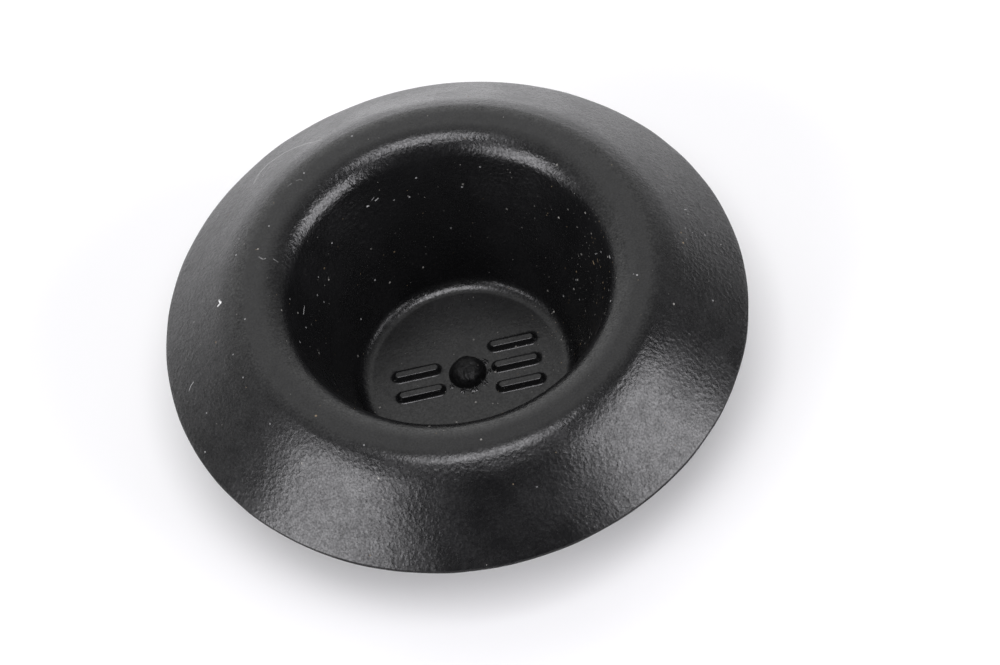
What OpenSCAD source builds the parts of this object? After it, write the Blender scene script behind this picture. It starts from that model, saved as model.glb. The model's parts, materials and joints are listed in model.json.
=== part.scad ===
// Push-in hole plug, moulded in one piece: a tapered cup with an umbrella flange folded
// outwards from its mouth, and a snap bead under the flange that holds it in a sheet panel.
// Z = 0 is the panel face under the rim, and the cup points down the Z axis.

/* [Flange] */
// Diameter of the flange over its rim
flange_d = 22.2; // [22:0.1:25]
// Height of the crown above the panel face
crown_h = 3.1; // [2.6:0.1:3.2]
// Fall of the crown from the lip out to the shoulder, in degrees
crown_fall = 3.5; // [1:0.5:4]
// Slope of the flange below its brow, in degrees
flange_slope = 44; // [43:1:46]
// Slope of the brow, the gentler top of the flange, in degrees
brow_slope = 36; // [32:1:40]
// Height of the brow, from the crown down to the flange's slope
brow_drop = 0.55; // [0.5:0.05:0.65]
// Rounding between the brow and the flange's slope
brow_round = 5; // [1:0.5:6]
// Thickness of the upright edge round the rim
rim_t = 0.15; // [0.12:0.01:0.3]
// Rounding of the rim edge, above and below
rim_round = 0.04; // [0.02:0.01:0.05]
// Width of the flat land under the rim that bears on the panel
land_w = 0.35; // [0.2:0.05:0.6]
// Rounding of the outer shoulder, between brow and crown
shoulder_round = 1.1; // [0.4:0.05:1.3]

/* [Panel hole] */
// Diameter of the hole that the plug closes
hole_d = 12.7; // [11.5:0.1:13]
// Gap between neck and hole, each side
neck_clear = 0.05; // [0.02:0.01:0.15]
// Length of the straight neck below the panel face
neck_len = 1.1; // [0.8:0.1:1.6]
// How far the bead stands out past the hole, each side
bead_grip = 0.2; // [0.1:0.02:0.3]
// Rounding of the bead
bead_round = 0.35; // [0.2:0.05:0.5]
// Angle of the bead's upper flank, in degrees from the panel
flank_angle = 45; // [35:1:60]
// Angle of the lead-in below the bead, in degrees from the axis
lead_in = 31; // [28:1:36]
// Rounding of the corner round the base
base_round = 0.5; // [0.2:0.05:0.9]

/* [Cup] */
// Thickness of the wall, square to it
wall = 1; // [0.8:0.05:1.1]
// Thickness of the floor
floor_t = 1; // [0.7:0.05:1.4]
// Depth of the cup, from the crown to the floor
cup_depth = 6.5; // [5.6:0.1:7.5]
// Draft of the cup wall, in degrees from the axis
wall_draft = 19; // [16:0.5:24]
// Rounding of the lip at the mouth
lip_round = 1.15; // [0.3:0.05:1.2]
// Fillet between the wall and the floor
floor_round = 0.6; // [0.3:0.05:1]
// Fillet at the top of the groove under the flange
groove_round = 0.3; // [0.15:0.05:0.4]

/* [Floor details] */
// Diameter of the gate nub at the middle of the floor
nub_d = 1.3; // [0.8:0.1:1.8]
// Height of the gate nub
nub_h = 0.5; // [0.3:0.05:0.6]
// Length of a raised tally bar
bar_l = 1.9; // [1:0.1:2]
// Width of a raised tally bar at its foot
bar_w = 0.5; // [0.4:0.02:0.6]
// Width of a raised tally bar at its top
bar_top = 0.26; // [0.2:0.02:0.36]
// Height of a raised tally bar
bar_h = 0.22; // [0.12:0.02:0.3]
// Gap between the nub and the near end of a tally bar
bar_gap = 0.3; // [0.2:0.05:0.5]
// Spacing of the tally bars, middle to middle
bar_pitch = 0.95; // [0.7:0.05:1]
// Tally bars on the left of the nub
bars_left = 2; // [1:1:3]
// Tally bars on the right of the nub
bars_right = 3; // [1:1:3]

/* [Hidden] */
$fn = 96;

// Farthest that the straight steps of a rounded corner lie from its arc
ARC_SAG = 0.002;
// Depth to which the nub and the tally bars are rooted in the floor
ROOT = 0.3;

floor_z = crown_h - cup_depth;
base_z = floor_z - floor_t;

// The neck sets the wall and the wall the cup, and both lean out by the draft above the panel
neck_r = hole_d / 2 - neck_clear;
lean = tan(wall_draft);

// The mouth's sharp corner lies above the crown, so that its rounded lip just reaches the crown's height
lip_turn = 90 - wall_draft + crown_fall;
mouth_z = crown_h + lip_round * (tan(lip_turn / 2) * sin(crown_fall) - 1 + cos(crown_fall));
mouth_r = neck_r - wall / cos(wall_draft) + mouth_z * lean;
floor_r = mouth_r - (mouth_z - floor_z) * lean;

// The flange rises from the top of the rim edge to the brow, and the brow meets the crown at the shoulder
rim_r = flange_d / 2;
land_r = rim_r - rim_round - land_w;
brow_z = crown_h - brow_drop;
brow_r = rim_r - (brow_z - rim_t) / tan(flange_slope);
fall = tan(crown_fall);
rise = tan(brow_slope);
shoulder_r = (brow_z + brow_r * rise - mouth_z - mouth_r * fall) / (rise - fall);
shoulder_z = mouth_z - (shoulder_r - mouth_r) * fall;

// The groove under the flange leaves about one wall thickness to the cup, the crown and the slope
groove_z = crown_h - wall;
groove_in_r = neck_r + groove_z * lean;
groove_out_r = rim_r - (groove_z - rim_t) / tan(flange_slope) - wall / sin(flange_slope);

// The bead is a round nose between its upper flank and the lead-in, which ends at the base
nose_r = hole_d / 2 + bead_grip - bead_round;
nose_z = -neck_len - (bead_round - (neck_r - nose_r) * sin(flank_angle)) / cos(flank_angle);
tip_angle = (90 - flank_angle + lead_in) / 2;
tip_tilt = (90 - flank_angle - lead_in) / 2;
tip_r = nose_r + bead_round * cos(tip_tilt) / cos(tip_angle);
tip_z = nose_z + bead_round * sin(tip_tilt) / cos(tip_angle);
base_r = tip_r - (tip_z - base_z) * tan(lead_in);

// Half section of the plug, anticlockwise from the axis: each corner is [radius, height, rounding]
SECTION = [
    [0, base_z, 0],
    [base_r, base_z, base_round],
    [tip_r, tip_z, bead_round],
    [neck_r, -neck_len, 0],
    [neck_r, 0, 0],
    [groove_in_r, groove_z, groove_round],
    [groove_out_r, groove_z, groove_round],
    [land_r, 0, 0],
    [rim_r, 0, rim_round],
    [rim_r, rim_t, rim_round],
    [brow_r, brow_z, brow_round],
    [shoulder_r, shoulder_z, shoulder_round],
    [mouth_r, mouth_z, lip_round],
    [floor_r, floor_z, floor_round],
    [0, floor_z, 0],
];

function unit(v) = v / norm(v);
function spot(corner) = [corner.x, corner.y];
function bearing(v) = atan2(v.y, v.x);

// The arc that rounds corner b between its neighbours a and c
function arc(a, b, c, r) =
    let (back = unit(a - b), ahead = unit(c - b), half = acos(back * ahead) / 2)
    let (centre = b + unit(back + ahead) * r / sin(half))
    let (start = bearing(b + back * r / tan(half) - centre))
    let (turn = sign(cross(ahead, back)) * (180 - 2 * half))
    let (steps = ceil(abs(turn) / (2 * acos(1 - ARC_SAG / r))))
    [for (i = [0:steps]) centre + r * [cos(start + turn * i / steps), sin(start + turn * i / steps)]];

// The outline of a list of corners, with each rounding put in
function rounded(list) =
    let (n = len(list), p = [for (corner = list) spot(corner)])
    [for (i = [0:n - 1]) each list[i].z > 0
        ? arc(p[(i + n - 1) % n], p[i], p[(i + 1) % n], list[i].z)
        : [p[i]]];

// The gate nub: a low dome left where the plastic entered the mould
module nub() {
    dome_r = (nub_d * nub_d / 4 + nub_h * nub_h) / (2 * nub_h);
    translate([0, 0, floor_z])
        intersection() {
            translate([0, 0, nub_h - dome_r])
                sphere(r = dome_r);
            translate([0, 0, -ROOT])
                cylinder(r = dome_r, h = nub_h + 2 * ROOT);
        }
}

// A tally bar along X: a flat-topped ridge with drafted flanks and round ends, rooted in the floor
module tally_bar() {
    straight = bar_l - bar_w;
    ridge = [
        [-bar_w / 2, -ROOT],
        [bar_w / 2, -ROOT],
        [bar_w / 2, 0],
        [bar_top / 2, bar_h],
        [-bar_top / 2, bar_h],
        [-bar_w / 2, 0],
    ];
    rotate([90, 0, 90])
        linear_extrude(height = straight, center = true)
            polygon(ridge);
    for (end = [-1, 1])
        translate([end * straight / 2, 0, 0])
            rotate_extrude()
                polygon([for (p = ridge) if (p.x > 0) p, [0, bar_h], [0, -ROOT]]);
}

// A row of tally bars on one side of the nub, spread about the X axis
module tally(count, side) {
    middle = side * (nub_d / 2 + bar_gap + bar_l / 2);
    for (i = [0:count - 1])
        translate([middle, (i - (count - 1) / 2) * bar_pitch, floor_z])
            tally_bar();
}

module plug() {
    color([0.06, 0.06, 0.07]) {
        rotate_extrude()
            polygon(rounded(SECTION));
        nub();
        tally(bars_left, -1);
        tally(bars_right, 1);
    }
}

plug();
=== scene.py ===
"""Looks of a push-in hole plug: one moulded black piece on a pale studio floor.

The plug's half section is drawn as lines and arcs and spun about its axis. The tally bars are raised
out of the cup's floor, the gate nub is left ragged, and one moulded finish with its dust and marks
covers the piece.
"""

import json
import math
from typing import NamedTuple

import bmesh
import bpy
from bpy.props import FloatProperty, FloatVectorProperty, IntProperty, PointerProperty
from mathutils import Matrix, Vector, noise
from mathutils.bvhtree import BVHTree


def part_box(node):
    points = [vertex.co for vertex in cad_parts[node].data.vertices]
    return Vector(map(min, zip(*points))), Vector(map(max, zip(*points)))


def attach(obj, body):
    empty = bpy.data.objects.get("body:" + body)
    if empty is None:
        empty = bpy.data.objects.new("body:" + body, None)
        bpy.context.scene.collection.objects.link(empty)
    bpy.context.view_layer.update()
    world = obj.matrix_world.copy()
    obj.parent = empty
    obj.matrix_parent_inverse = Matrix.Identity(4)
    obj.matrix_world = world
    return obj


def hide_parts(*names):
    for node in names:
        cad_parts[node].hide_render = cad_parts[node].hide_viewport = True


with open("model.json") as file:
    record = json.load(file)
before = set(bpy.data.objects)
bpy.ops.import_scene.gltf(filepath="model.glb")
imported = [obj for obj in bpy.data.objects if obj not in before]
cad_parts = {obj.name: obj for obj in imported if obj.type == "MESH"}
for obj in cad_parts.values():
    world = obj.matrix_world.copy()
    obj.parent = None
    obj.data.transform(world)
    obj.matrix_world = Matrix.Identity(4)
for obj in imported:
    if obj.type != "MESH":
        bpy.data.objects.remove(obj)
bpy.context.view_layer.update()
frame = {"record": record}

bl_info = {
    "name": "Hole plug",
    "version": (1, 0, 0),
    "blender": (4, 5, 0),
    "location": "3D View > Sidebar > Hole plug",
    "description": "Builds a moulded push-in hole plug and the studio that it stands in",
    "category": "Object",
}

MM = 0.001
NODE = "plug"
LOW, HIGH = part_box(NODE)
NECK = next(mount for mount in frame["record"]["mounts"] if mount["name"] == "neck")["dims"]


def length(name, description, default):
    """A length in metres that the sidebar shows in the scene's own unit."""
    return FloatProperty(
        name=name, description=description, default=default, min=0, unit="LENGTH", precision=5
    )


def angle(name, description, degrees):
    """An angle, written here in degrees."""
    return FloatProperty(name=name, description=description, default=math.radians(degrees), subtype="ANGLE")


def colour(name, description, default):
    """A linear colour."""
    return FloatVectorProperty(
        name=name, description=description, default=default, size=3, min=0, subtype="COLOR"
    )


def share(name, description, default):
    """A plain factor."""
    return FloatProperty(name=name, description=description, default=default, min=0)


class PlugSizes(bpy.types.PropertyGroup):
    """Sizes of the moulded piece. Its outer box and its neck come from the frame."""

    flange_r: length("Flange radius", "Radius of the flange over its rim", HIGH.x)
    crown_h: length("Crown height", "Height of the crown above the panel face", HIGH.z)
    base_drop: length("Base depth", "Depth of the base below the panel face", -LOW.z)
    neck_r: length("Neck radius", "Radius of the neck that fills the hole", NECK["r_mm"] * MM)
    neck_len: length("Neck length", "Length of the straight neck", NECK["length_mm"] * MM)
    flange_slope: angle("Flange slope", "Slope of the flange below its brow", 44)
    crown_fall: angle("Crown fall", "Slope of the crown, outwards from the lip", 3.5)
    brow_slope: angle("Brow slope", "Slope of the brow, the gentler top of the flange", 36)
    brow_drop: length("Brow drop", "Height of the brow, from the crown down to the flange's slope", 0.55 * MM)
    brow_round: length("Brow rounding", "Rounding between the brow and the flange's slope", 5 * MM)
    rim_t: length("Rim thickness", "Thickness of the upright edge round the rim", 0.15 * MM)
    rim_round: length("Rim rounding", "Rounding of the rim edge, above and below", 0.04 * MM)
    land_w: length("Land width", "Width of the flat land under the rim", 0.35 * MM)
    shoulder_round: length("Shoulder rounding", "Rounding between brow and crown", 1.1 * MM)
    bead_r: length("Bead radius", "Radius over the snap bead", 6.55 * MM)
    bead_round: length("Bead rounding", "Rounding of the snap bead", 0.35 * MM)
    flank_angle: angle("Bead flank", "Angle of the bead's upper flank from the panel", 45)
    lead_in: angle("Lead-in", "Angle of the lead-in below the bead from the axis", 31)
    base_round: length("Base rounding", "Rounding of the corner round the base", 0.5 * MM)
    wall: length("Wall", "Thickness of the wall", 1 * MM)
    floor_t: length("Floor", "Thickness of the cup's floor", 1 * MM)
    wall_draft: angle("Wall draft", "Draft of the cup wall from the axis", 19)
    lip_round: length("Lip rounding", "Rounding of the lip at the mouth", 1.15 * MM)
    floor_round: length("Floor fillet", "Fillet between the wall and the floor", 0.6 * MM)
    groove_round: length("Groove fillet", "Fillet at the top of the groove under the flange", 0.3 * MM)
    edge_round: length("Edge rounding", "Rounding of the small hidden edges", 0.06 * MM)
    nub_d: length("Nub diameter", "Diameter of the gate nub on the floor", 1.3 * MM)
    nub_h: length("Nub height", "Height of the gate nub", 0.5 * MM)
    nub_lean: length("Nub lean", "How far the nub's side leans in over its height", 0.12 * MM)
    nub_round: length("Nub rounding", "Rounding of the top of the nub", 0.42 * MM)
    bar_l: length("Bar length", "Length of a raised tally bar", 1.9 * MM)
    bar_w: length("Bar width", "Width of a raised tally bar at its foot", 0.5 * MM)
    bar_top: length("Bar top", "Width of a raised tally bar at its top", 0.26 * MM)
    bar_h: length("Bar height", "Height of a raised tally bar", 0.22 * MM)
    bar_foot: length("Bar foot", "Height over which a bar's flank eases into the floor", 0.12 * MM)
    bar_edge: length("Bar edge", "Height over which a bar's flank eases into its top", 0.05 * MM)
    bar_gap: length("Bar gap", "Gap between the nub and a tally bar", 0.3 * MM)
    bar_pitch: length("Bar spacing", "Spacing of the tally bars", 0.95 * MM)
    bars_left: IntProperty(name="Bars left", description="Bars on the left of the nub", default=2, min=1)
    bars_right: IntProperty(name="Bars right", description="Bars on the right of the nub", default=3, min=1)
    wave_height: length("Wave height", "Height of the moulding's shallow unevenness", 0.006 * MM)
    wave_size: length("Wave size", "Size of the moulding's shallow unevenness", 1.5 * MM)
    rim_wave: length("Rim wave", "Unevenness of the rim's outline", 0.02 * MM)
    ragged: length("Ragged nub", "Depth of the ragged breaks in the nub", 0.03 * MM)
    ragged_size: length("Ragged size", "Size of the ragged breaks in the nub", 0.2 * MM)
    turns: IntProperty(name="Spin steps", description="Steps round the axis", default=288, min=48)


class PlugFinish(bpy.types.PropertyGroup):
    """Colours and texture of the moulded plastic and of what lies on it, and how much painted shade dims its
    shine.
    """

    plastic: colour("Plastic", "Colour of the black plastic", (0.0035, 0.0035, 0.0038))
    plastic_worn: colour("Worn plastic", "Colour where it is a little chalky", (0.0065, 0.0065, 0.007))
    dust: colour("Dust", "Colour of the pale dust", (0.3, 0.29, 0.27))
    grit: colour("Grit", "Colour of the tan grit among the dust", (0.3, 0.22, 0.13))
    mark: colour("Mark", "Colour of the chips and scratches", (0.75, 0.75, 0.75))
    mark_break: length("Mark break", "Size of the breaks in chips and scratches", 0.06 * MM)
    cloud_size: length("Cloud size", "Size of the dull and polished patches", 1.7 * MM)
    rough_low: share("Roughness low", "Roughness of the most polished patches", 0.22)
    rough_high: share("Roughness high", "Roughness of the dullest patches", 0.31)
    rough_dull: share("Dullness", "Roughness that a fully dull stretch adds", 0.3)
    rough_hollow: share("Hollow roughness", "Roughness that the hollows between the pebbles add", 0.08)
    rough_dust: share("Dust roughness", "Roughness of dust and marks", 0.85)
    grain_size: length("Grain size", "Size of the pebbles in the mould texture", 0.155 * MM)
    grain_height: length("Grain height", "Height of the deepest mould texture", 0.022 * MM)
    # Painted shade: the hollows between the pebbles shine less, as if the pebbles round them shaded them
    hollow_shade: share("Hollow darkness", "How much less the hollows between the pebbles shine", 0.12)
    # Painted shade: a dull stretch shines less, which darkens the rim edge and the nub most
    dull_shade: share("Dull darkness", "How much less a fully dull stretch shines", 0.6)
    sheen_size: length("Sheen size", "Size of the finest changes of gloss", 0.07 * MM)
    sheen: share("Sheen", "How much the gloss changes from spot to spot", 0.36)
    mottle_size: length("Mottle size", "Size of the faint blotches", 0.4 * MM)
    mottle: share("Mottle", "How much less the faint blotches shine", 0.2)
    fine_spacing: length("Fine dust spacing", "Spacing of the fine dust", 0.2 * MM)
    fine_size: length("Fine dust size", "Radius of a fine speck", 0.028 * MM)
    speck_spacing: length("Speck spacing", "Spacing of the larger specks", 0.45 * MM)
    speck_size: length("Speck size", "Radius of a larger speck", 0.055 * MM)


class PlugStudio(bpy.types.PropertyGroup):
    """The camera, the lamps and the floor. Turns are from the camera's side, and grow to the right."""

    view_height: angle("View height", "Angle of the view above the rim plane", 55.767)
    view_roll: angle("View roll", "Roll of the camera", 12.323)
    view_distance: length("View distance", "Distance of the camera from its aim", 333 * MM)
    aim_right: length("Aim right", "How far the aim lies right of the origin in the picture", 1.6347 * MM)
    aim_down: length("Aim down", "How far the aim lies below the origin in the picture", 0.3091 * MM)
    lens: share("Lens", "Focal length in millimetres on a 36 mm sensor", 316.79)
    lamp_distance: length("Lamp distance", "Distance of the lamps from the plug", 1.0)
    lamp_colour: colour("Lamp colour", "Colour of the softboxes", (0.975, 0.965, 1.0))
    top_light: share("Top light", "Radiance of the overhead softbox", 6.2)
    top_height: angle("Top height", "Height of the overhead softbox", 72)
    top_wide: angle("Top width", "Width of the overhead softbox", 34)
    top_high: angle("Top depth", "Depth of the overhead softbox", 26)
    side_light: share("Side light", "Radiance of the two side softboxes", 5.6)
    side_height: angle("Side height", "Height of the side softboxes", 19)
    side_wide: angle("Side width", "Width of the side softboxes", 38.5)
    side_high: angle("Side depth", "Depth of the side softboxes", 40)
    left_turn: angle("Left turn", "Turn of the left softbox", -58)
    right_turn: angle("Right turn", "Turn of the right softbox", 62)
    far_light: share("Far light", "Radiance of the pale wall behind the plug", 1.62)
    near_light: share("Near light", "Radiance of the dark side that the camera stands on", 0.03)
    far_turn: angle("Far turn", "Turn of the palest part of the wall", 190)
    far_height: angle("Far height", "Height of the palest part of the wall", 24)
    floor_colour: colour("Floor", "Colour of the pale floor", (0.88, 0.88, 0.88))
    floor_r: length("Floor radius", "Radius of the floor", 0.9)
    floor_gap: length("Floor gap", "Gap that keeps the floor clear of the base", 0.005 * MM)


class Skin(NamedTuple):
    """How a stretch of the surface is finished, each from 0 to about 1."""

    grain: float
    # Dullness roughens a stretch and also dims its shine, which is painted shade
    dull: float
    dust: float


UNDERSIDE = Skin(0.5, 0.3, 0.05)
FLANGE = Skin(0.66, 0, 0.06)
# The rim's full dullness roughens it and also dims its shine: painted shade along the rim edge
RIM = Skin(0.9, 1, 0.1)
CROWN = Skin(0.12, 0, 0.06)
WALL = Skin(0.9, 0, 0.2)
CUP = Skin(0.7, 0, 0.2)
FLOOR = Skin(0.2, 0, 0.2)
SCAR = Skin(0.25, 0, 0.2)
NUB = Skin(0.4, 0.85, 0.1)

# Longest row of faces on a stretch of the section, and farthest that the steps of a rounding lie from its arc
ROW = {
    UNDERSIDE: 0.4 * MM, FLANGE: 0.25 * MM, RIM: 0.25 * MM, CROWN: 0.25 * MM, WALL: 0.25 * MM, CUP: 0.25 * MM,
    FLOOR: 0.08 * MM, SCAR: 0.025 * MM, NUB: 0.04 * MM,
}
ARC_SAG = 0.0005 * MM

# Share of a bend over which one skin gives way to the next: early where the next is grainier, and else late
EARLY_CHANGE = (0.1, 0.5)
LATE_CHANGE = (0.5, 0.9)


class Corner(NamedTuple):
    """A corner of the half section, with the skin of the run that leads to it."""

    r: float
    z: float
    rounding: float
    skin: Skin


def section_corners(s):
    """Corners of the half section, from the middle of the base round to that of the nub."""
    lean = math.tan(s.wall_draft)
    floor_z = s.floor_t - s.base_drop
    lip_turn = math.pi / 2 - s.wall_draft + s.crown_fall
    lip_rise = math.tan(lip_turn / 2) * math.sin(s.crown_fall) - 1 + math.cos(s.crown_fall)
    mouth_z = s.crown_h + s.lip_round * lip_rise
    mouth_r = s.neck_r - s.wall / math.cos(s.wall_draft) + mouth_z * lean
    land_r = s.flange_r - s.rim_round - s.land_w
    brow_z = s.crown_h - s.brow_drop
    brow_r = s.flange_r - (brow_z - s.rim_t) / math.tan(s.flange_slope)
    fall, rise = math.tan(s.crown_fall), math.tan(s.brow_slope)
    shoulder_r = (brow_z + brow_r * rise - mouth_z - mouth_r * fall) / (rise - fall)
    shoulder_z = mouth_z - (shoulder_r - mouth_r) * fall
    groove_z = s.crown_h - s.wall
    slope_r = s.flange_r - (groove_z - s.rim_t) / math.tan(s.flange_slope)
    groove_out_r = slope_r - s.wall / math.sin(s.flange_slope)
    nose_r = s.bead_r - s.bead_round
    nose_drop = (s.bead_round - (s.neck_r - nose_r) * math.sin(s.flank_angle)) / math.cos(s.flank_angle)
    nose_z = -s.neck_len - nose_drop
    tip_angle = (math.pi / 2 - s.flank_angle + s.lead_in) / 2
    tip_tilt = (math.pi / 2 - s.flank_angle - s.lead_in) / 2
    tip_r = nose_r + s.bead_round * math.cos(tip_tilt) / math.cos(tip_angle)
    tip_z = nose_z + s.bead_round * math.sin(tip_tilt) / math.cos(tip_angle)
    base_r = tip_r - (tip_z + s.base_drop) * math.tan(s.lead_in)
    nub_r = s.nub_d / 2
    return [
        Corner(0, -s.base_drop, 0, UNDERSIDE),
        Corner(base_r, -s.base_drop, s.base_round, UNDERSIDE),
        Corner(tip_r, tip_z, s.bead_round, UNDERSIDE),
        Corner(s.neck_r, -s.neck_len, s.edge_round, UNDERSIDE),
        Corner(s.neck_r, 0, s.edge_round, UNDERSIDE),
        Corner(s.neck_r + groove_z * lean, groove_z, s.groove_round, UNDERSIDE),
        Corner(groove_out_r, groove_z, s.groove_round, UNDERSIDE),
        Corner(land_r, 0, s.edge_round, UNDERSIDE),
        Corner(s.flange_r, 0, s.rim_round, UNDERSIDE),
        Corner(s.flange_r, s.rim_t, s.rim_round, RIM),
        Corner(brow_r, brow_z, s.brow_round, FLANGE),
        Corner(shoulder_r, shoulder_z, s.shoulder_round, FLANGE),
        Corner(mouth_r, mouth_z, s.lip_round, CROWN),
        Corner(mouth_r - mouth_z * lean, 0, 0, WALL),
        Corner(mouth_r - (mouth_z - floor_z) * lean, floor_z, s.floor_round, CUP),
        Corner(nub_r + s.bar_gap, floor_z, 0, FLOOR),
        Corner(nub_r + s.edge_round, floor_z, s.edge_round, SCAR),
        Corner(nub_r - s.nub_lean, floor_z + s.nub_h, s.nub_round, NUB),
        Corner(0, floor_z + s.nub_h, 0, NUB),
    ]


def draw_line(bm, pen, end, step):
    """Draws a straight run from the pen to a point, in steps no longer than given. Returns the new pen."""
    start = pen.co.copy()
    steps = math.ceil((end - start).length / step)
    for i in range(steps):
        pen = bmesh.ops.extrude_vert_indiv(bm, verts=[pen])["verts"][0]
        pen.co = start.lerp(end, (i + 1) / steps)
    return pen


def draw_arc(bm, pen, centre, turn, steps):
    """Swings the pen in the XZ plane, anticlockwise for a turn above zero, and returns the new verts."""
    before = len(bm.verts)
    bmesh.ops.spin(
        bm, geom=[pen], cent=centre, axis=(0, -1, 0), dvec=(0, 0, 0), angle=turn, steps=steps, use_merge=False
    )
    bm.verts.ensure_lookup_table()
    return bm.verts[before:]


def smoothstep(low, high, value):
    """A smooth rise from 0 to 1 between two values."""
    t = min(max((value - low) / (high - low), 0), 1)
    return t * t * (3 - 2 * t)


def draw_section(bm, corners, skins):
    """Draws the rounded half section as one chain. The grainier of two skins takes most of their bend."""
    points = [Vector((corner.r, 0, corner.z)) for corner in corners]
    pen = bm.verts.new(points[0])
    for i in range(1, len(corners)):
        here, corner = points[i], corners[i]
        pen[skins] = corner.skin
        if not corner.rounding:
            pen = draw_line(bm, pen, here, ROW[corner.skin])
            continue
        back = (points[i - 1] - here).normalized()
        ahead = (points[i + 1] - here).normalized()
        half = back.angle(ahead) / 2
        centre = here + (back + ahead).normalized() * (corner.rounding / math.sin(half))
        side = 1 if ahead.cross(back).y < 0 else -1
        turn = side * (math.pi - 2 * half)
        steps = math.ceil(abs(turn) / (2 * math.acos(1 - ARC_SAG / corner.rounding)))
        pen = draw_line(bm, pen, here + back * (corner.rounding / math.tan(half)), ROW[corner.skin])
        bend = draw_arc(bm, pen, centre, turn, steps)
        following = corners[i + 1].skin
        change = EARLY_CHANGE if following.grain > corner.skin.grain else LATE_CHANGE
        for k, vert in enumerate(bend, 1):
            vert[skins] = Vector(corner.skin).lerp(following, smoothstep(*change, k / steps))
        pen = bend[-1]


def bar_middles(s):
    """Middles of the tally bars on both sides of the nub."""
    out = s.nub_d / 2 + s.bar_gap + s.bar_l / 2
    for side, count in ((-1, s.bars_left), (1, s.bars_right)):
        for i in range(count):
            yield Vector((side * out, (i - (count - 1) / 2) * s.bar_pitch))


def bar_distance(flat, s):
    """Distance of a point of the floor from the middle line of the nearest tally bar."""
    straight = (s.bar_l - s.bar_w) / 2
    return min(math.hypot(max(abs(flat.x - m.x) - straight, 0), flat.y - m.y) for m in bar_middles(s))


def ease(a, b, reach):
    """How much a smooth joint of two heights differs from their sharp joint."""
    return max(reach - abs(a - b), 0) ** 2 / (4 * reach)


def bar_height(gap, s):
    """Height of a tally bar at a distance from its middle line: flat top, drafted flanks and eased foot."""
    flank = s.bar_h * (s.bar_w / 2 - gap) / (s.bar_w / 2 - s.bar_top / 2)
    risen = max(flank, 0) + ease(flank, 0, s.bar_foot)
    return min(risen, s.bar_h) - ease(risen, s.bar_h, s.bar_edge)


# How far past a bar's flanks the faces are made finer, and the cuts this puts in spokes and rings
FLANK_MARGIN = 0.09 * MM
SPOKE_CUTS = 3
RING_CUTS = 2

# Farthest that a point of the floor lies from its plane, and the least outward share of a spoke's run
FLAT = 0.001 * MM
OUTWARD = 0.7


def set_in_order(bm):
    """Gives edges and faces a set order and edges a set direction, which the spin leaves to chance."""
    bm.verts.index_update()
    count = len(bm.verts)

    def rank(element):
        spots = [vert.index for vert in element.verts]
        return min(spots) * count + max(spots)

    bm.edges.sort(key=rank)
    bm.faces.sort(key=rank)
    ordered = bpy.data.meshes.new("ordered")
    bm.to_mesh(ordered)
    for edge in ordered.edges:
        edge.vertices = sorted(edge.vertices)
    bm.clear()
    bm.from_mesh(ordered)
    bpy.data.meshes.remove(ordered)


def raise_bars(bm, s, floor_z):
    """Makes the floor's faces finer along the flanks of the tally bars, and lifts them into the bars."""
    def on_flank(vert):
        near, far = s.bar_top / 2 - FLANK_MARGIN, s.bar_w / 2 + FLANK_MARGIN
        return abs(vert.co.z - floor_z) < FLAT and near < bar_distance(vert.co.xy, s) < far

    def flank_edges(outwards):
        chosen = {vert for vert in bm.verts if on_flank(vert)}
        for edge in bm.edges:
            a, b = edge.verts
            if a in chosen and b in chosen:
                run = (b.co - a.co).normalized()
                if (abs(run.dot(a.co.xy.to_3d().normalized())) > OUTWARD) == outwards:
                    yield edge

    bmesh.ops.subdivide_edges(bm, edges=list(flank_edges(True)), cuts=SPOKE_CUTS, use_grid_fill=True)
    bmesh.ops.subdivide_edges(bm, edges=list(flank_edges(False)), cuts=RING_CUTS, use_grid_fill=True)
    for vert in bm.verts:
        if abs(vert.co.z - floor_z) < FLAT:
            vert.co.z += bar_height(bar_distance(vert.co.xy, s), s)


class Crumb(NamedTuple):
    """A crumb of plastic left on the floor by the gate, in millimetres."""

    x: float
    y: float
    half_w: float
    tall: float


CRUMBS = (
    Crumb(0.7, 0.34, 0.14, 0.06),
    Crumb(0.79, -0.12, 0.11, 0.04),
    Crumb(0.55, -0.56, 0.14, 0.05),
    Crumb(0.12, -0.8, 0.15, 0.04),
    Crumb(-0.3, -0.74, 0.11, 0.03),
    Crumb(-0.7, -0.42, 0.1, 0.03),
)


# Seed of the noise that tears the nub, which is taken from the clock when none is set
TEAR_SEED = 1

# How much finer the second tears and the crumbs' edges are than the nub's breaks,
# and where a crumb's top begins
FINER_TEARS = 2.3
FINER_EDGES = 3
CRUMB_TOP = 0.3


def leave_gate_scar(bm, s, floor_z):
    """Breaks the nub's skin up, and leaves the crumbs of the gate round its foot."""
    scar_r = s.nub_d / 2 + s.bar_gap
    finer, finest = FINER_TEARS / s.ragged_size, FINER_EDGES / s.ragged_size
    noise.seed_set(TEAR_SEED)
    for vert in bm.verts:
        if vert.co.xy.length > scar_r or vert.co.z < floor_z - FLAT:
            continue
        lift = (vert.co.z - floor_z) / s.nub_h
        torn = noise.noise_vector(vert.co / s.ragged_size) + 0.5 * noise.noise_vector(vert.co * finer)
        vert.co += torn * s.ragged * min(2 * lift, 1)
        rough = noise.noise(vert.co * finest)
        for crumb in CRUMBS:
            gap = math.hypot(vert.co.x - crumb.x * MM, vert.co.y - crumb.y * MM)
            away = gap / (crumb.half_w * MM) + rough
            vert.co.z += crumb.tall * MM * smoothstep(1, CRUMB_TOP, away)


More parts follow.
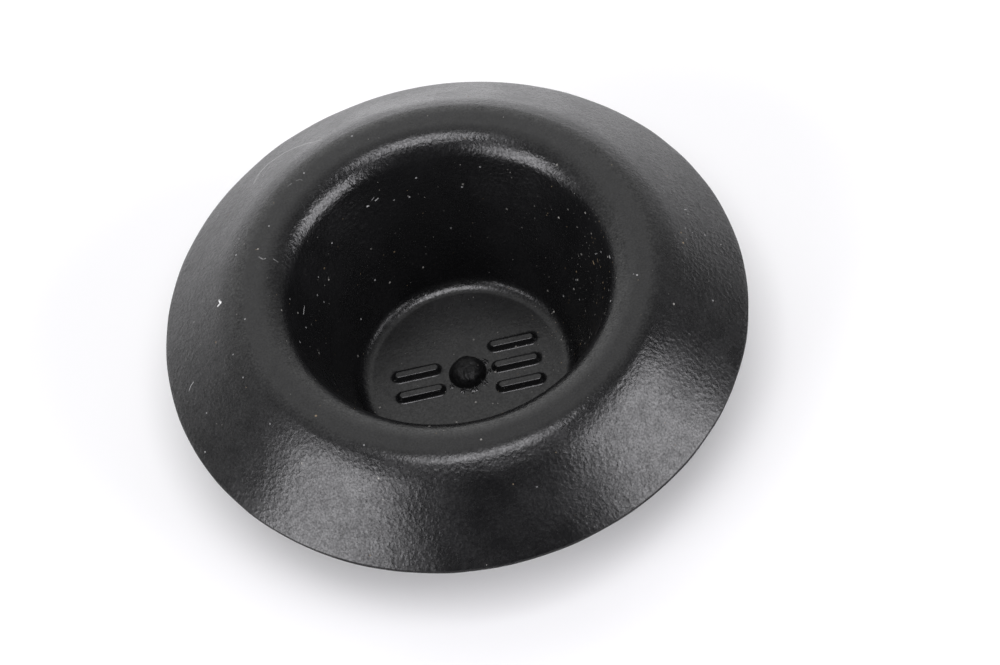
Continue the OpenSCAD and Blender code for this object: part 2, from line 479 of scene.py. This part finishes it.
def let_shrink(bm, s):
    """Gives the moulding a shallow unevenness, a little more at the thin rim and none on its base."""
    bm.normal_update()
    inside_rim = s.flange_r - 2 * s.rim_t
    for vert in bm.verts:
        wave = s.rim_wave if vert.co.xy.length > inside_rim else s.wave_height
        wave *= smoothstep(0, s.base_round, vert.co.z + s.base_drop)
        vert.co += vert.normal * (wave * noise.noise(vert.co / s.wave_size))


# The side of the cup that most dust lies on, how closely it keeps to that side, and how much more there is
DUSTY_SIDE = Vector((0.95, -0.3, 0))
DUST_FOCUS = 4
DUST_GAIN = 9


def gather_dust(bm, s, skins):
    """Lays more dust on the right of the cup's wall."""
    bm.normal_update()
    for vert in bm.verts:
        out = vert.co.xy.to_3d()
        if out.length and vert.normal.dot(out) < 0 and out.length < s.neck_r:
            grain, dull, dust = vert[skins]
            side = max(out.normalized().dot(DUSTY_SIDE), 0) ** DUST_FOCUS
            vert[skins] = (grain, dull, dust * (1 + DUST_GAIN * side))


def smooth_object(name, bm):
    """Makes a smooth-shaded object of a finished mesh."""
    mesh = bpy.data.meshes.new(name)
    bm.to_mesh(mesh)
    bm.free()
    mesh.shade_smooth()
    piece = bpy.data.objects.new(name, mesh)
    bpy.context.scene.collection.objects.link(piece)
    return piece


# How the nodes of a material are laid out
NODES_A_ROW = 10
NODE_WIDE, NODE_TALL = 220, 330


def feed(tree, socket, value):
    """Links a socket's value into an input, or sets the input to a plain value."""
    if isinstance(value, bpy.types.NodeSocket):
        tree.links.new(value, socket)
    else:
        socket.default_value = value


def add_node(tree, kind, **sockets):
    """Adds a shader node, feeds its inputs by name, and lays the nodes out in rows."""
    node = tree.nodes.new(kind)
    row, column = divmod(len(tree.nodes), NODES_A_ROW)
    node.location = (column * NODE_WIDE, -row * NODE_TALL)
    for name, value in sockets.items():
        feed(tree, node.inputs[name.replace("_", " ")], value)
    return node


def reckon(tree, operation, *values):
    """The result of a sum on numbers or sockets."""
    node = add_node(tree, "ShaderNodeMath")
    node.operation = operation
    for socket, value in zip(node.inputs, values):
        feed(tree, socket, value)
    return node.outputs["Value"]


def measure(tree, operation, output, *values):
    """The result of a sum on vectors."""
    node = add_node(tree, "ShaderNodeVectorMath")
    node.operation = operation
    slots = [node.inputs[0], node.inputs["Scale"]] if operation == "SCALE" else node.inputs
    for socket, value in zip(slots, values):
        feed(tree, socket, value)
    return node.outputs[output]


def spread(tree, value, low, high, to_low=0.0, to_high=1.0):
    """A value's range made another range, held at its ends."""
    node = add_node(
        tree, "ShaderNodeMapRange", Value=value, From_Min=low, From_Max=high, To_Min=to_low, To_Max=to_high
    )
    return node.outputs["Result"]


def blend_colours(tree, amount, first, second):
    """A mix of two colours, each plain or a socket."""
    node = add_node(tree, "ShaderNodeMix")
    node.data_type = "RGBA"
    sockets = {name: next(i for i in node.inputs if i.name == name and i.type == "RGBA") for name in "AB"}
    feed(tree, node.inputs["Factor"], amount)
    for name, value in (("A", first), ("B", second)):
        feed(tree, sockets[name], value if isinstance(value, bpy.types.NodeSocket) else (*value, 1))
    return next(out for out in node.outputs if out.type == "RGBA")


def cloud(tree, place, size, detail=0.0, distortion=0.0):
    """Soft noise of a given size."""
    node = add_node(
        tree, "ShaderNodeTexNoise", Vector=place, Scale=1 / size, Detail=detail, Distortion=distortion
    )
    return node.outputs["Fac"]


# Share of a speck's radius that is solid, how faint the faintest are,
# and how much fine dust shows beside specks
SPECK_CORE = 0.55
FAINTEST = 0.25
FINE_SHOWS = 0.6

# Share of the specks that are pale dust, and the noise levels between which a mark is broken up
PALE_SHARE = 0.8
BROKEN = (0.25, 0.45)


def specks(tree, place, spacing, half_w, chance):
    """Scattered specks: how strongly each shows, and a random number of its own."""
    cells = add_node(tree, "ShaderNodeTexVoronoi", Vector=place, Scale=1 / spacing)
    lots = add_node(tree, "ShaderNodeSeparateColor", Color=cells.outputs["Color"])
    body = spread(tree, cells.outputs["Distance"], half_w / spacing, SPECK_CORE * half_w / spacing)
    there = reckon(tree, "LESS_THAN", lots.outputs["Red"], chance)
    strength = spread(tree, lots.outputs["Green"], 0, 1, FAINTEST, 1)
    return reckon(tree, "MULTIPLY", reckon(tree, "MULTIPLY", body, there), strength), lots.outputs["Blue"]


class Mark(NamedTuple):
    """A chip, hair, scratch or grain: its pixels in the photograph, half width in millimetres, paleness."""

    start: tuple
    half_w: float
    pale: float
    end: tuple | None = None


CHIPS = (
    Mark((219, 300.3), 0.045, 1, (220.2, 302.6)),
    Mark((220.4, 302.8), 0.076, 1),
    Mark((220.2, 303.6), 0.042, 1, (217.8, 306)),
)
SCRATCHES = (
    Mark((193.5, 382), 0.023, 0.35, (191, 385.5)),
    Mark((191, 385.5), 0.023, 0.35, (189, 391)),
    Mark((259, 257), 0.021, 0.3, (263, 259.3)),
    Mark((263, 259.5), 0.019, 0.25, (266, 258.2)),
    Mark((273.5, 259), 0.019, 0.2, (278, 262)),
    Mark((304.5, 306), 0.026, 0.5, (303.5, 314)),
    Mark((254, 183), 0.07, 0.16, (257.5, 176)),
    Mark((257.5, 176), 0.07, 0.26, (262, 170)),
    Mark((262, 170), 0.07, 0.32, (268, 164)),
    Mark((268, 164), 0.07, 0.34, (275, 159)),
    Mark((275, 159), 0.07, 0.34, (284, 153)),
    Mark((284, 153), 0.07, 0.36, (294, 148)),
    Mark((294, 148), 0.06, 0.4, (307, 143.5)),
    Mark((307, 143.5), 0.045, 0.36, (321, 140)),
    Mark((288, 186), 0.024, 0.14, (291.5, 183.5)),
    Mark((296, 181), 0.022, 0.1, (300, 179)),
    Mark((300, 179), 0.022, 0.1, (302.5, 180.5)),
)
FLANGE_GRAINS = (
    Mark((236, 255), 0.045, 0.45),
    Mark((239, 239), 0.042, 0.3),
    Mark((258, 249), 0.038, 0.26),
    Mark((269, 226), 0.042, 0.26),
    Mark((304, 173), 0.045, 0.34),
    Mark((352, 136), 0.045, 0.38),
    Mark((194, 322), 0.045, 0.3),
    Mark((245, 319), 0.042, 0.3),
    Mark((233, 354.5), 0.042, 0.26),
    Mark((243, 377.5), 0.042, 0.26),
    Mark((206.5, 413), 0.042, 0.26),
    Mark((205, 452), 0.045, 0.3),
    Mark((270, 424), 0.042, 0.22),
    Mark((364, 445), 0.042, 0.26),
    Mark((537, 487), 0.042, 0.22),
    Mark((684.5, 209.5), 0.026, 0.3, (686.5, 209.5)),
    Mark((688, 214), 0.034, 0.19),
    Mark((685.5, 228), 0.038, 0.22),
    Mark((692.5, 232.5), 0.038, 0.26),
    Mark((686.5, 239), 0.038, 0.22),
    Mark((705, 235), 0.042, 0.3),
    Mark((721, 244.5), 0.045, 0.38),
    Mark((713, 300.5), 0.042, 0.34),
    Mark((637, 275), 0.049, 0.38),
    Mark((633.5, 274), 0.03, 0.22),
)
WALL_GRAINS = (
    Mark((371, 201), 0.023, 0.21, (374, 197.5)),
    Mark((375.5, 200.5), 0.03, 0.42, (378, 198.5)),
    Mark((367, 206.5), 0.038, 0.54, (368.5, 206)),
    Mark((394, 200), 0.042, 0.3),
    Mark((409.5, 197), 0.049, 0.36),
    Mark((416, 178), 0.049, 0.3),
    Mark((332, 243), 0.042, 0.42),
    Mark((318.5, 277), 0.038, 0.3),
    Mark((317.5, 295), 0.053, 0.27),
    Mark((324, 302), 0.045, 0.36),
    Mark((290, 299), 0.042, 0.36),
    Mark((306, 327.5), 0.049, 0.36),
    Mark((300, 342), 0.053, 0.48),
    Mark((361, 319), 0.049, 0.42),
    Mark((375, 280), 0.049, 0.36),
    Mark((451, 228), 0.042, 0.3),
    Mark((480, 167), 0.042, 0.3),
    Mark((462, 187), 0.045, 0.36),
    Mark((576, 280), 0.049, 0.3),
    Mark((563.5, 296), 0.061, 0.3),
    Mark((579.5, 299.5), 0.045, 0.3),
    Mark((601, 252), 0.045, 0.42),
    Mark((595, 254), 0.03, 0.24, (597, 253.5)),
    Mark((609.3, 256), 0.034, 0.36, (610, 258)),
    Mark((610.5, 301), 0.049, 0.42),
)
TAN_GRAINS = (
    Mark((593, 261.5), 0.042, 0.7, (594, 264)),
    Mark((597.3, 259), 0.03, 0.4, (598, 262)),
    Mark((600.5, 267), 0.042, 0.5),
    Mark((603, 282.5), 0.049, 0.8),
    Mark((604.5, 288.5), 0.045, 0.6),
)


def surface_mark():
    """A node group that shows a mark along a short straight run."""
    group = bpy.data.node_groups.new("surface_mark", "ShaderNodeTree")
    for name, kind in (
        ("Place", "Vector"), ("Start", "Vector"), ("Run", "Vector"), ("Pull", "Vector"),
        ("Half Width", "Float"), ("Paleness", "Float"),
    ):
        group.interface.new_socket(name, in_out="INPUT", socket_type="NodeSocket" + kind)
    group.interface.new_socket("Strength", in_out="OUTPUT", socket_type="NodeSocketFloat")
    given = add_node(group, "NodeGroupInput").outputs
    away = measure(group, "SUBTRACT", "Vector", given["Place"], given["Start"])
    along = spread(group, measure(group, "DOT_PRODUCT", "Value", away, given["Pull"]), 0, 1)
    nearest = measure(group, "SCALE", "Vector", given["Run"], along)
    gap = measure(group, "DISTANCE", "Value", away, nearest)
    core = reckon(group, "MULTIPLY", given["Half Width"], 0.5)
    strength = spread(group, gap, given["Half Width"], core, 0, given["Paleness"])
    add_node(group, "NodeGroupOutput", Strength=strength)
    return group


def lay_marks(tree, place, group, marks, seen_at):
    """How strongly any of the marks shows."""
    shown = 0.0
    for mark in marks:
        start = seen_at(mark.start)
        run = seen_at(mark.end) - start if mark.end else Vector()
        pull = run / run.length_squared if mark.end else run
        node = add_node(tree, "ShaderNodeGroup")
        node.node_tree = group
        for name, value in (
            ("Place", place), ("Start", start), ("Run", run), ("Pull", pull),
            ("Half Width", mark.half_w * MM), ("Paleness", mark.pale),
        ):
            feed(tree, node.inputs[name], value)
        shown = reckon(tree, "MAXIMUM", shown, node.outputs["Strength"])
    return shown


# Noise levels of the hollows and blotches, of the dull and polished patches, and of the spots that shine
SUNKEN = (0.55, 0.3)
PATCHY = (0.3, 0.7)
SHINING = (0.2, 0.8)
MIDDLE = 0.5

# Grain from which the gloss is fully uneven, how uneven it is on smooth plastic,
# and the plain level of its sheen
UNEVEN_GRAIN = 0.5
SMOOTH_UNEVEN = 0.3
PLAIN_SHEEN = 0.5
PLASTIC_IOR = 1.55


def moulded_plastic(f, seen_at):
    """Black moulded plastic: pebbled by its mould, uneven in gloss, dusty and a little marked, with painted
    shade that dims the shine in the pebbles' hollows and on dull stretches.
    """
    material = bpy.data.materials.new("moulded_plastic")
    material.use_nodes = True
    tree = material.node_tree
    tree.nodes.clear()
    place = add_node(tree, "ShaderNodeTexCoord").outputs["Object"]
    skin = add_node(tree, "ShaderNodeAttribute")
    skin.attribute_name = "skin"
    levels = add_node(tree, "ShaderNodeSeparateXYZ", Vector=skin.outputs["Vector"]).outputs
    grain, dull, dust = levels["X"], levels["Y"], levels["Z"]

    patches = cloud(tree, place, f.cloud_size, detail=3)
    plastic = blend_colours(tree, patches, f.plastic, f.plastic_worn)
    fine, _ = specks(tree, place, f.fine_spacing, f.fine_size, dust)
    large, lot = specks(tree, place, f.speck_spacing, f.speck_size, dust)
    lying = reckon(tree, "MAXIMUM", reckon(tree, "MULTIPLY", fine, FINE_SHOWS), large)
    dirt = blend_colours(tree, reckon(tree, "GREATER_THAN", lot, PALE_SHARE), f.dust, f.grit)
    group = surface_mark()
    tan_grains = lay_marks(tree, place, group, TAN_GRAINS, seen_at)
    pale_marks = lay_marks(tree, place, group, (*CHIPS, *SCRATCHES, *FLANGE_GRAINS, *WALL_GRAINS), seen_at)
    pale_marks = reckon(tree, "MULTIPLY", pale_marks, spread(tree, cloud(tree, place, f.mark_break), *BROKEN))
    surface = blend_colours(tree, lying, plastic, dirt)
    surface = blend_colours(tree, tan_grains, surface, f.grit)
    surface = blend_colours(tree, pale_marks, surface, f.mark)
    covered = reckon(tree, "MAXIMUM", reckon(tree, "MAXIMUM", lying, tan_grains), pale_marks)

    pebbles = cloud(tree, place, f.grain_size, detail=2, distortion=0.2)
    hollow = reckon(tree, "MULTIPLY", spread(tree, pebbles, *SUNKEN), grain)
    gloss = spread(tree, patches, *PATCHY, f.rough_low, f.rough_high)
    gloss = reckon(tree, "MULTIPLY_ADD", dull, f.rough_dull, gloss)
    gloss = reckon(tree, "MULTIPLY_ADD", hollow, f.rough_hollow, gloss)
    roughness = spread(tree, covered, 0, 1, gloss, f.rough_dust)

    glints = spread(tree, cloud(tree, place, f.sheen_size), *SHINING, -f.sheen, f.sheen)
    pitted = spread(tree, grain, 0, UNEVEN_GRAIN, SMOOTH_UNEVEN, 1)
    glints = reckon(tree, "MULTIPLY", glints, pitted)
    sheen = reckon(tree, "MULTIPLY_ADD", glints, PLAIN_SHEEN, PLAIN_SHEEN)
    # Painted shade: the hollows between the pebbles shine less
    sheen = reckon(tree, "MULTIPLY", sheen, spread(tree, hollow, 0, 1, 1, 1 - f.hollow_shade))
    # Painted shade: dull stretches shine less, the rim edge and the nub most
    sheen = reckon(tree, "MULTIPLY", sheen, spread(tree, dull, 0, 1, 1, 1 - f.dull_shade))
    mottled = spread(tree, cloud(tree, place, f.mottle_size, detail=2), *SUNKEN)
    blotches = reckon(tree, "MULTIPLY", mottled, pitted)
    sheen = reckon(tree, "MULTIPLY", sheen, spread(tree, blotches, 0, 1, 1, 1 - f.mottle))

    relief = reckon(tree, "MULTIPLY", reckon(tree, "SUBTRACT", pebbles, MIDDLE), grain)
    bump = add_node(tree, "ShaderNodeBump", Height=relief, Distance=f.grain_height)

    shader = add_node(tree, "ShaderNodeBsdfPrincipled", IOR=PLASTIC_IOR)
    feed(tree, shader.inputs["Specular IOR Level"], sheen)
    feed(tree, shader.inputs["Base Color"], surface)
    feed(tree, shader.inputs["Roughness"], roughness)
    feed(tree, shader.inputs["Normal"], bump.outputs["Normal"])
    add_node(tree, "ShaderNodeOutputMaterial", Surface=shader.outputs["BSDF"])
    return material


def aim_at_plug(place, back, up_hint):
    """A matrix at a place whose local Z points back from the plug."""
    right = up_hint.cross(back).normalized()
    up = back.cross(right)
    turned = Matrix((right, up, back)).transposed().to_4x4()
    return Matrix.Translation(place) @ turned


def direction(turn, height):
    """Unit vector towards a point of the studio; turn 0 is the camera's side, and it grows to the right."""
    return Vector((math.sin(turn) * math.cos(height), -math.cos(turn) * math.cos(height), math.sin(height)))


PHOTO_WIDE, PHOTO_HIGH = 1000, 665
SENSOR_MM = 36


def photo_view(studio):
    """The photograph's eye point, and the right, up and back directions of its picture."""
    back = direction(0, studio.view_height)
    level = Vector((1, 0, 0))
    upright = back.cross(level)
    right = math.cos(studio.view_roll) * level - math.sin(studio.view_roll) * upright
    up = math.sin(studio.view_roll) * level + math.cos(studio.view_roll) * upright
    eye = back * studio.view_distance + right * studio.aim_right - up * studio.aim_down
    return eye, right, up, back


def pixel_finder(bm, studio):
    """A function that finds the place on a mesh that the photograph shows at a pixel."""
    surface = BVHTree.FromBMesh(bm)
    eye, right, up, back = photo_view(studio)
    pixel_mm = SENSOR_MM / PHOTO_WIDE

    def seen_at(pixel):
        across, down = pixel[0] - PHOTO_WIDE / 2, pixel[1] - PHOTO_HIGH / 2
        return surface.ray_cast(eye, (right * across - up * down) * pixel_mm - back * studio.lens)[0]

    return seen_at


# Farthest apart that two points of the spun section are still one
SAME_POINT = 1e-8


class PLUG_OT_body(bpy.types.Operator):
    """Build the moulded piece"""

    bl_idname = "plug.body"
    bl_label = "Moulded piece"

    def execute(self, context):
        s = context.scene.plug_sizes
        floor_z = s.floor_t - s.base_drop
        bm = bmesh.new()
        skins = bm.verts.layers.float_vector.new("skin")
        draw_section(bm, section_corners(s), skins)
        chain = bm.verts[:] + bm.edges[:]
        bmesh.ops.spin(
            bm, geom=chain, cent=(0, 0, 0), axis=(0, 0, 1), dvec=(0, 0, 0), angle=2 * math.pi, steps=s.turns,
            use_merge=True
        )
        bmesh.ops.remove_doubles(bm, verts=bm.verts, dist=SAME_POINT)
        bmesh.ops.recalc_face_normals(bm, faces=bm.faces)
        set_in_order(bm)
        raise_bars(bm, s, floor_z)
        leave_gate_scar(bm, s, floor_z)
        let_shrink(bm, s)
        gather_dust(bm, s, bm.verts.layers.float_vector["skin"])
        seen_at = pixel_finder(bm, context.scene.plug_studio)
        piece = smooth_object("plug_body", bm)
        piece.data.materials.append(moulded_plastic(context.scene.plug_finish, seen_at))
        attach(piece, "root")
        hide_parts(NODE)
        return {"FINISHED"}


# The way up for a lamp, leaning a little so that it holds for one overhead too
STEEP_UP = Vector((0, 0.01, 1))

# Where the pale wall's glow begins, as the cosine of the angle from its palest part, and how steeply it rises
GLOW_FROM = -0.2
GLOW_STEEPNESS = 2

FLOOR_ROUGHNESS = 0.9
FLOOR_SIDES = 96
NEAR_CLIP, FAR_CLIP = 0.01, 10


def add_softbox(name, studio, turn, height, wide, high, radiance):
    """A soft rectangular lamp that looks the given angles wide and high from the plug."""
    lamp = bpy.data.lights.new(name, "AREA")
    lamp.shape = "RECTANGLE"
    lamp.size = 2 * studio.lamp_distance * math.tan(wide / 2)
    lamp.size_y = 2 * studio.lamp_distance * math.tan(high / 2)
    lamp.energy = radiance * math.pi * lamp.size * lamp.size_y
    lamp.color = studio.lamp_colour
    back = direction(turn, height)
    holder = bpy.data.objects.new(name, lamp)
    holder.matrix_world = aim_at_plug(back * studio.lamp_distance, back, STEEP_UP)
    bpy.context.scene.collection.objects.link(holder)


def studio_world(studio):
    """A studio that is pale behind the plug and dark on the camera's side."""
    world = bpy.data.worlds.new("studio")
    world.use_nodes = True
    tree = world.node_tree
    tree.nodes.clear()
    view = add_node(tree, "ShaderNodeTexCoord").outputs["Generated"]
    facing = measure(tree, "DOT_PRODUCT", "Value", view, direction(studio.far_turn, studio.far_height))
    rise = reckon(tree, "POWER", spread(tree, facing, GLOW_FROM, 1), GLOW_STEEPNESS)
    level = spread(tree, rise, 0, 1, studio.near_light, studio.far_light)
    glow = add_node(tree, "ShaderNodeBackground", Strength=level)
    add_node(tree, "ShaderNodeOutputWorld", Surface=glow.outputs["Background"])
    bpy.context.scene.world = world


def studio_floor(studio, height):
    """The pale floor under the plug."""
    bm = bmesh.new()
    bmesh.ops.create_circle(bm, cap_ends=True, segments=FLOOR_SIDES, radius=studio.floor_r)
    bmesh.ops.translate(bm, verts=bm.verts, vec=(0, 0, height))
    floor = smooth_object("studio_floor", bm)
    material = bpy.data.materials.new("pale_floor")
    material.use_nodes = True
    paint = material.node_tree.nodes["Principled BSDF"]
    paint.inputs["Base Color"].default_value = (*studio.floor_colour, 1)
    paint.inputs["Roughness"].default_value = FLOOR_ROUGHNESS
    paint.inputs["Specular IOR Level"].default_value = 0
    floor.data.materials.append(material)


def studio_camera(studio):
    """The camera, at the photograph's height, roll and framing."""
    eye, _, up, back = photo_view(studio)
    lens = bpy.data.cameras.new("studio_camera")
    lens.lens = studio.lens
    lens.sensor_width = SENSOR_MM
    lens.clip_start = NEAR_CLIP
    lens.clip_end = FAR_CLIP
    holder = bpy.data.objects.new("studio_camera", lens)
    holder.matrix_world = aim_at_plug(eye, back, up)
    bpy.context.scene.collection.objects.link(holder)
    bpy.context.scene.camera = holder


class PLUG_OT_stage(bpy.types.Operator):
    """Set up the floor, the lamps and the camera"""

    bl_idname = "plug.stage"
    bl_label = "Stage"

    def execute(self, context):
        studio = context.scene.plug_studio
        context.scene.view_settings.view_transform = "Standard"
        studio_world(studio)
        studio_floor(studio, LOW.z - studio.floor_gap)
        add_softbox(
            "top_softbox", studio, 0, studio.top_height, studio.top_wide, studio.top_high, studio.top_light
        )
        for name, turn in (("left_softbox", studio.left_turn), ("right_softbox", studio.right_turn)):
            add_softbox(
                name, studio, turn, studio.side_height, studio.side_wide, studio.side_high, studio.side_light
            )
        studio_camera(studio)
        return {"FINISHED"}


class PLUG_PT_panel(bpy.types.Panel):
    """Lists the steps that build the plug"""

    bl_idname = "PLUG_PT_panel"
    bl_label = "Hole plug"
    bl_space_type = "VIEW_3D"
    bl_region_type = "UI"
    bl_category = "Hole plug"

    def draw(self, context):
        for group, operator in (
            ("plug_sizes", PLUG_OT_body), ("plug_finish", None), ("plug_studio", PLUG_OT_stage)
        ):
            values = getattr(context.scene, group)
            box = self.layout.box()
            for name in values.__annotations__:
                box.prop(values, name)
            if operator:
                box.operator(operator.bl_idname)


GROUPS = {"plug_sizes": PlugSizes, "plug_finish": PlugFinish, "plug_studio": PlugStudio}
CLASSES = (*GROUPS.values(), PLUG_OT_body, PLUG_OT_stage, PLUG_PT_panel)


def register():
    for cls in CLASSES:
        bpy.utils.register_class(cls)
    for name, group in GROUPS.items():
        setattr(bpy.types.Scene, name, PointerProperty(type=group))


def unregister():
    for name in GROUPS:
        delattr(bpy.types.Scene, name)
    for cls in reversed(CLASSES):
        bpy.utils.unregister_class(cls)


def main():
    register()
    bpy.ops.plug.body()
    bpy.ops.plug.stage()


if __name__ == "__main__":
    main()
